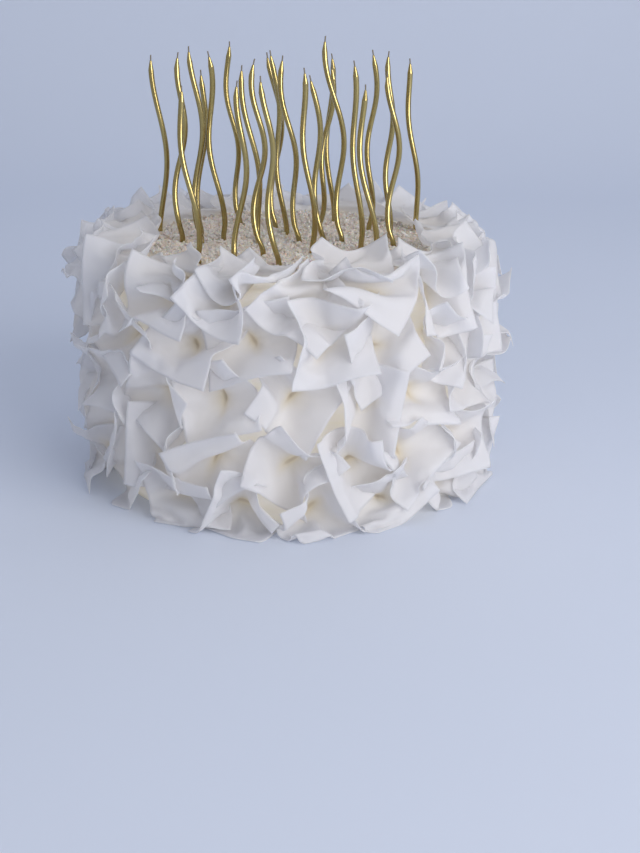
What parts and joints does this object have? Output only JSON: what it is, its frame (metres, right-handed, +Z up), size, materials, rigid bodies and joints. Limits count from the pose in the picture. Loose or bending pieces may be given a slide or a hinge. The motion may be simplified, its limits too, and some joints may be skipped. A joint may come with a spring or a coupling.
{
  "type": "birthday cake with candles",
  "caption": "Tall round celebration cake covered in pinched wafer paper squares, with sugar crystals and thin wavy gold candles on top.",
  "frame": {"origin": "middle of the flat base, on the surface the cake stands on", "axes": "+Z up along the cake's axis, +X to the right and -Y towards the viewer of the pictured side"},
  "size_m": [0.3069, 0.3074, 0.2913],
  "materials": {
    "wafer_paper": "matt white edible wafer paper over white frosting",
    "sugar_crystal": "clear to pale beige sparkling sugar",
    "candle_gold": "metallic gold lacquer on wax"
  },
  "bodies": {
    "root": {"frosted_cake": "wafer_paper", "sugar_crystals": "sugar_crystal", "candle_01": "candle_gold", "candle_02": "candle_gold", "candle_03": "candle_gold", "candle_04": "candle_gold", "candle_05": "candle_gold", "candle_06": "candle_gold", "candle_07": "candle_gold", "candle_08": "candle_gold", "candle_09": "candle_gold", "candle_10": "candle_gold", "candle_11": "candle_gold", "candle_12": "candle_gold", "candle_13": "candle_gold", "candle_14": "candle_gold", "candle_15": "candle_gold", "candle_16": "candle_gold", "candle_17": "candle_gold", "candle_18": "candle_gold", "candle_19": "candle_gold", "candle_20": "candle_gold", "candle_21": "candle_gold", "candle_22": "candle_gold", "candle_23": "candle_gold", "candle_24": "candle_gold", "candle_25": "candle_gold"}
  },
  "joints": []
}
